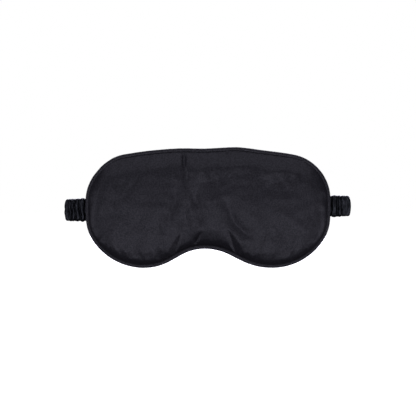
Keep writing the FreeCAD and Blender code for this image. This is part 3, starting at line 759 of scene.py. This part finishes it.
def strap_pieces(name, points, run, side):
    """Cuts a tube into its run beside the seam, its fold and its half of the back, and makes each follow.

    The tube is left unjoined where its first and last points meet, as a sewn strip is. The fold's blend is
    so long that all of the fold follows by the same share.
    """
    share = blend_start(FOLD_FOLLOW)
    normals = row_normals(points)
    points, normals = (np.concatenate([v, v[:, :1]], axis=1) for v in (points, normals))
    first, second = (int(np.abs(run - cut).argmin()) for cut in STRAP_CUTS)
    seam_x, far = HALF_WIDTH, 10.0
    outer_end = (SPLIT_X - seam_x) / share
    inner_end = (SPLIT_X - MIDDLE_X) / (1 - share)
    spans = {
        "by_seam": (0, first, seam_x, seam_x + outer_end),
        "fold": (first, second, SPLIT_X - share * far, SPLIT_X + (1 - share) * far),
        "back": (second, len(run) - 1, MIDDLE_X + inner_end, MIDDLE_X),
    }
    made = {}
    for part, (begin, finish, start_x, end_x) in spans.items():
        rows = points[begin:finish + 1]
        label = "%s_%s_%s" % (name, part, "right" if side == 1 else "left")
        obj = mesh_object(label, rows.reshape(-1, 3), grid_faces(len(rows), rows.shape[1]))
        outward = normals[begin:finish + 1].reshape(-1, 3)
        if (attribute(obj, "normal") * outward).sum() < 0:
            obj.data.flip_normals()
        obj.data.normals_split_custom_set_from_vertices(outward.tolist())
        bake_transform(obj, "mask", "strap", start=(side * start_x, 0, 0), end=(side * end_x, 0, 0))
        made[part] = obj
    return made


def rounded(points, across, run, side):
    """Draws the fold's edges in towards the mask; across counts half widths of the sleeve."""
    at_fold = smooth(-np.abs(run - FRONT_RUN - 0.5 * FOLD_RUN), -0.5 * FOLD_RUN - 2 * MM, -0.2 * FOLD_RUN)
    points[..., 0] -= FOLD_ROUNDING[side] * at_fold[:, None] * across ** 2
    return points


def sleeve(side):
    """One side's half of the gathered sleeve, in its three pieces."""
    run = strap_steps(330)
    count = 48
    # How wide the sleeve lies against its own width: by the seam, round the fold and behind the mask.
    by_seam = smooth(-run, -20 * MM, -8 * MM)
    narrowing = mixed(0.95, 1.02, by_seam) if side == -1 else mixed(0.92, 0.94, by_seam)
    narrowing = mixed(narrowing, 0.97, smooth(run, 40 * MM, 70 * MM))
    section, facing = flat_oval(SLEEVE_HALF - 0.1 * MM, 0.5 * SLEEVE_THICKNESS - 0.05 * MM, count)
    around = np.arange(count) * 0.9 * MM
    # The gathers are tallest on the outside of the fold, lower on the edges and lowest on the inside.
    outside = np.where(facing[:, 1] > 0, 1.9 * MM, 0.45 * MM)
    size = mixed(outside, 0.9 * MM, np.abs(facing[:, 0]))
    height = np.maximum(gathers(run, around, side) * size[None], -DEEPEST_GATHER)
    sized = section[None] * np.stack([narrowing, np.ones(len(run))], axis=1)[:, None]
    points = rounded(swept(run, sized, facing[None], height), section[:, 0] / SLEEVE_HALF, run, side)
    return strap_pieces("sleeve", on_side(points, side), run, side)


def elastic(side):
    """One side's half of the ribbed elastic, cut where the sleeve is."""
    run = strap_steps(150)
    count = 60
    section, facing = flat_oval(ELASTIC_HALF - 0.2 * MM, 0.5 * ELASTIC_THICKNESS - 0.14 * MM, count)
    ribs = 0.05 * MM * np.cos(section[:, 0] / (1.6 * MM) * 2 * math.pi)
    points = swept(run, np.broadcast_to(section, (len(run), count, 2)), facing[None],
                   np.broadcast_to(ribs, (len(run), count)))
    points = rounded(points, section[:, 0] / (0.93 * SLEEVE_HALF), run, side)
    return strap_pieces("elastic", on_side(points, side), run, side)


# ---------------------------------------------------------------- materials
# Flecks are single bright or dull threads; slubs are their thicker stretches.
FLECK_SIZE = 1.1 * MM
SLUB_SIZE = 0.9 * MM


def noise_texture(tree, vector, size, detail, roughness=0.5):
    """The output of a noise texture with features about a size across."""
    made = tree.nodes.new("ShaderNodeTexNoise")
    made.inputs["Scale"].default_value = 1 / size
    made.inputs["Detail"].default_value = detail
    made.inputs["Roughness"].default_value = roughness
    tree.links.new(vector, made.inputs["Vector"])
    return made.outputs["Fac"]


def two_tones(tree, factor, places, colours):
    """The output of a ramp from one colour to another between two places."""
    made = tree.nodes.new("ShaderNodeValToRGB")
    for element, place, colour in zip(made.color_ramp.elements, places, colours):
        element.position = place
        element.color = (*colour, 1)
    tree.links.new(factor, made.inputs["Fac"])
    return made.outputs["Color"]


def relief(tree, height, depth, below=None):
    """A normal bent by relief of a depth, laid over the relief below it."""
    made = tree.nodes.new("ShaderNodeBump")
    made.inputs["Strength"].default_value = 0.5
    made.inputs["Distance"].default_value = depth
    tree.links.new(height, made.inputs["Height"])
    if below is not None:
        tree.links.new(below, made.inputs["Normal"])
    return made.outputs["Normal"]


def thread_waves(tree, vector, direction, spacing):
    """The output of a wave texture that repeats every spacing along a direction."""
    made = tree.nodes.new("ShaderNodeTexWave")
    made.bands_direction = direction
    made.inputs["Scale"].default_value = 2 * math.pi / (20 * spacing)
    made.inputs["Distortion"].default_value = 0.6
    tree.links.new(vector, made.inputs["Vector"])
    return made.outputs["Fac"]


def cloth_look(name, dark, light, roughness, threads, thread_depth, nap=0.25 * MM, sheen=0.1, brushed=0.0,
               blotch=25 * MM, slub=0.02 * MM, fleck=0.3, tint=(1, 1, 1)):
    """A woven cloth: soft patches of two tones, two sets of threads this far apart, slubs, a nap and a sheen.

    fleck is how unevenly single threads shine; tint colours what they reflect.
    """
    material = bpy.data.materials.new(name)
    material.use_nodes = True
    tree = material.node_tree
    shader = tree.nodes["Principled BSDF"]
    where = tree.nodes.new("ShaderNodeTexCoord").outputs["Object"]

    patches = noise_texture(tree, where, blotch, 6, 0.62)
    tones = two_tones(tree, patches, (0.32, 0.68), (dark, light))
    flecks = noise_texture(tree, where, FLECK_SIZE, 1)
    uneven_tone, uneven_shine = (
        two_tones(tree, flecks, (0.36, 0.64), [[middle * (1 + side * fleck)] * 3 for side in (-1, 1)])
        for middle in (1.0, 0.5))
    toned = tree.nodes.new("ShaderNodeMix")
    toned.data_type = "RGBA"
    toned.blend_type = "MULTIPLY"
    toned.inputs["Factor"].default_value = 1
    tree.links.new(tones, toned.inputs[6])
    tree.links.new(uneven_tone, toned.inputs[7])
    tree.links.new(toned.outputs[2], shader.inputs["Base Color"])
    tree.links.new(uneven_shine, shader.inputs["Specular IOR Level"])
    shader.inputs["Specular Tint"].default_value = (*tint, 1)

    normal = None
    for direction in ("X", "Z"):
        normal = relief(tree, thread_waves(tree, where, direction, threads), thread_depth, normal)
    normal = relief(tree, noise_texture(tree, where, 4 * nap, 3), 0.1 * nap, normal)
    stretch = tree.nodes.new("ShaderNodeMapping")
    stretch.inputs["Scale"].default_value = (1, 1, 0.16)
    tree.links.new(where, stretch.inputs["Vector"])
    normal = relief(tree, noise_texture(tree, stretch.outputs["Vector"], SLUB_SIZE, 2), slub, normal)
    tree.links.new(normal, shader.inputs["Normal"])

    shader.inputs["Roughness"].default_value = roughness
    shader.inputs["Sheen Weight"].default_value = sheen
    shader.inputs["Sheen Roughness"].default_value = 0.4
    if brushed:
        shader.inputs["Anisotropic"].default_value = brushed
        threads_run = tree.nodes.new("ShaderNodeTangent")
        threads_run.direction_type = "UV_MAP"
        threads_run.uv_map = "UVMap"
        tree.links.new(threads_run.outputs["Tangent"], shader.inputs["Tangent"])
    return material


def dress(obj, material, slot, *nodes, body="mask"):
    """Finishes a piece: its material, the CAD nodes that it stands for and the body it rides on; slot is not
    used.
    """
    obj.data.materials.clear()
    obj.data.materials.append(material)
    if nodes:
        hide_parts(*nodes)
    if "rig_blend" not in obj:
        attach(obj, body)
    return obj


def askew(obj):
    """Sets a finished mesh askew, as set_askew does its points."""
    move_vertices(obj, set_askew(attribute(obj, "co")))
    return obj


# ---------------------------------------------------------------- the pieces
mask_satin = cloth_look("mask_satin", (0.0075, 0.0071, 0.0095), (0.0095, 0.0090, 0.0118), 0.42,
                        0.35 * MM, 0.012 * MM, sheen=0.03, brushed=0.12, slub=0.12 * MM, fleck=0.19)
piping_satin = cloth_look("piping_satin", (0.0080, 0.0076, 0.0100), (0.0100, 0.0095, 0.0125), 0.42,
                          0.35 * MM, 0.008 * MM, sheen=0, fleck=0.15)
strap_satin = cloth_look("strap_satin", (0.0007, 0.0008, 0.0010), (0.0014, 0.0015, 0.0020), 0.31,
                         0.35 * MM, 0.008 * MM, sheen=0, fleck=0.12, tint=(0.82, 0.88, 0.93))
wadding_look = cloth_look("wadding", (0.62, 0.61, 0.58), (0.78, 0.77, 0.74), 0.95, 1.4 * MM, 0.12 * MM,
                          nap=0.7 * MM, sheen=0.4, blotch=8 * MM)
interlining_look = cloth_look("interlining", (0.010, 0.010, 0.011), (0.018, 0.018, 0.019), 0.85, 0.6 * MM,
                              0.06 * MM, nap=0.4 * MM)
cord_look = cloth_look("cotton_cord", (0.60, 0.57, 0.50), (0.74, 0.71, 0.64), 0.9, 0.5 * MM, 0.05 * MM,
                       blotch=4 * MM)
elastic_look = cloth_look("elastic", (0.012, 0.012, 0.013), (0.022, 0.022, 0.024), 0.7, 0.8 * MM, 0.08 * MM)
thread_look = cloth_look("thread", (0.010, 0.010, 0.012), (0.016, 0.016, 0.019), 0.5, 0.2 * MM, 0.02 * MM,
                         nap=0.1 * MM, blotch=5 * MM)

front_points, back_points, shell_depth, shell_faces = shell()

# The front's creases go into its fine mesh; the wadding under it takes them from the coarse one.
front = panel("front_satin", front_points, shell_faces, -1)
fine = attribute(front, "co")
fine_depth = depth_inside(fine[:, [0, 2]])
on_face = fine[:, 1] < SEAM_Y - HALF_SEAM - 0.1 * MM
fine[:, 1] = np.where(on_face, creased(fine, fine_depth), fine[:, 1])
move_vertices(front, fine)
back = panel("back_satin", back_points, shell_faces, 1)
front_points[:, 1] = creased(front_points, shell_depth)
front_normals = panel_normals(front_points, shell_faces, -1)
back_normals = panel_normals(back_points, shell_faces, 1)

front_wadding = filling("front_wadding", front_points, front_normals, shell_faces, ring=FRONT_WADDING_RING,
                        gap=1.3 * MM, level=SEAM_Y - 0.55 * MM, fuzz=0.08 * MM)
back_wadding = filling("back_wadding", back_points, back_normals, shell_faces, ring=BACKING_RING,
                       gap=0.95 * MM, level=SEAM_Y - 0.5 * MM, fuzz=0.05 * MM)
keep, liner_faces = inside_ring(len(back_points), shell_faces, BACKING_RING)
liner = mesh_object("blackout_sheet", (back_points - back_normals * 0.42 * MM)[keep],
                    liner_faces[:, ::-1].tolist())

for piece in (front, back, liner):
    thicken(piece, CLOTH)
piping = piping_strip()
cord = twisted_cord()
stitches = seam_stitches()
for piece in (front, back, front_wadding, back_wadding, liner, piping, cord, stitches):
    askew(piece)
for piece in (front, back):
    flat_map(piece)
left_tack = bar_tack("bar_tack_left", -1)
right_tack = bar_tack("bar_tack_right", 1)

dress(front, mask_satin, "mask_satin", "front_panel")
dress(back, mask_satin, "mask_satin", "back_panel")
dress(piping, piping_satin, "piping_satin", "piping_cover")
dress(cord, cord_look, "cotton_cord", "piping_cord")
dress(front_wadding, wadding_look, "wadding", "padding")
dress(back_wadding, wadding_look, "wadding", "backing_pad")
dress(liner, interlining_look, "interlining", "blackout_liner")
dress(stitches, thread_look, "thread", "seam_thread")
dress(left_tack, thread_look, "thread", "strap_tack_left")
dress(right_tack, thread_look, "thread", "strap_tack_right")

sleeves, elastics = [], []
for side in (-1, 1):
    sleeves += sleeve(side).values()
    elastics += elastic(side).values()
for piece in sleeves:
    dress(piece, strap_satin, "strap_satin", "strap_cover")
for piece in elastics:
    dress(piece, elastic_look, "elastic", "strap_elastic")

# ---------------------------------------------------------------- the outline, at 400 points
EDGE, OUTWARD = outline(400)


# ---------------------------------------------------------------- stage, light and camera
STUDIO_TINT = (0.955, 0.93, 1.14, 1)
CAMERA_DISTANCE = 1.5
SENSOR_WIDTH = 36
# The width that the picture spans at the mask.
PICTURE_WIDTH = 0.3573
scene = bpy.context.scene


def pale_floor():
    """A glowing floor under the mask, which the camera sees but which neither lights nor shades the mask."""
    bpy.ops.mesh.primitive_plane_add(size=30, location=(0, 0, -LOBE - 2 * MM))
    floor = bpy.context.object
    floor.name = "floor"
    material = bpy.data.materials.new("floor")
    material.use_nodes = True
    shader = material.node_tree.nodes["Principled BSDF"]
    shader.inputs["Base Color"].default_value = (0.85, 0.85, 0.85, 1)
    shader.inputs["Roughness"].default_value = 0.9
    shader.inputs["Emission Color"].default_value = (1, 1, 1, 1)
    shader.inputs["Emission Strength"].default_value = 1.0
    floor.data.materials.append(material)
    floor.visible_diffuse = floor.visible_glossy = floor.visible_shadow = False
    return floor


def studio_world():
    """White where the camera looks past the mask, and a faint tinted glow for everything else."""
    world = bpy.data.worlds.new("studio")
    world.use_nodes = True
    nodes, links = world.node_tree.nodes, world.node_tree.links
    nodes.clear()
    output = nodes.new("ShaderNodeOutputWorld")
    lit, seen = nodes.new("ShaderNodeBackground"), nodes.new("ShaderNodeBackground")
    lit.inputs["Color"].default_value = STUDIO_TINT
    lit.inputs["Strength"].default_value = 0.08
    seen.inputs["Color"].default_value = (1, 1, 1, 1)
    ray, choice = nodes.new("ShaderNodeLightPath"), nodes.new("ShaderNodeMixShader")
    links.new(ray.outputs["Is Camera Ray"], choice.inputs["Fac"])
    links.new(lit.outputs["Background"], choice.inputs[1])
    links.new(seen.outputs["Background"], choice.inputs[2])
    links.new(choice.outputs["Shader"], output.inputs["Surface"])
    return world


def softbox(name, place, width, height, power):
    """A soft area light of a power in watts at a place, aimed at the mask."""
    light = bpy.data.lights.new(name, "AREA")
    light.shape = "RECTANGLE"
    light.size, light.size_y = width, height
    light.energy = power
    light.color = STUDIO_TINT[:3]
    obj = bpy.data.objects.new(name, light)
    scene.collection.objects.link(obj)
    obj.location = place
    obj.rotation_mode = "QUATERNION"
    obj.rotation_quaternion = (-Vector(place)).to_track_quat("-Z", "Y")
    obj.visible_camera = False


pale_floor()
scene.world = studio_world()
softbox("overhead", (0, -0.63, 1.0), 2.0, 1.6, 4.9)
softbox("low_front", (0, -1.64, -0.34), 0.9, 0.5, 2.85)
softbox("left", (-1.05, -0.75, -0.12), 0.8, 0.7, 1.9)
softbox("right", (1.05, -0.75, -0.32), 0.8, 0.7, 2.4)
softbox("behind", (0.3, 1.5, 0.7), 1.8, 1.2, 28)

camera = bpy.data.objects.new("camera", bpy.data.cameras.new("camera"))
scene.collection.objects.link(camera)
camera.data.sensor_width = SENSOR_WIDTH
camera.data.lens = SENSOR_WIDTH * CAMERA_DISTANCE / PICTURE_WIDTH
camera.location = (0, SEAM_Y - CAMERA_DISTANCE, 0)
camera.rotation_euler = (math.pi / 2, 0, 0)
camera.data.clip_end = 100
scene.camera = camera
scene.view_settings.view_transform = "Standard"
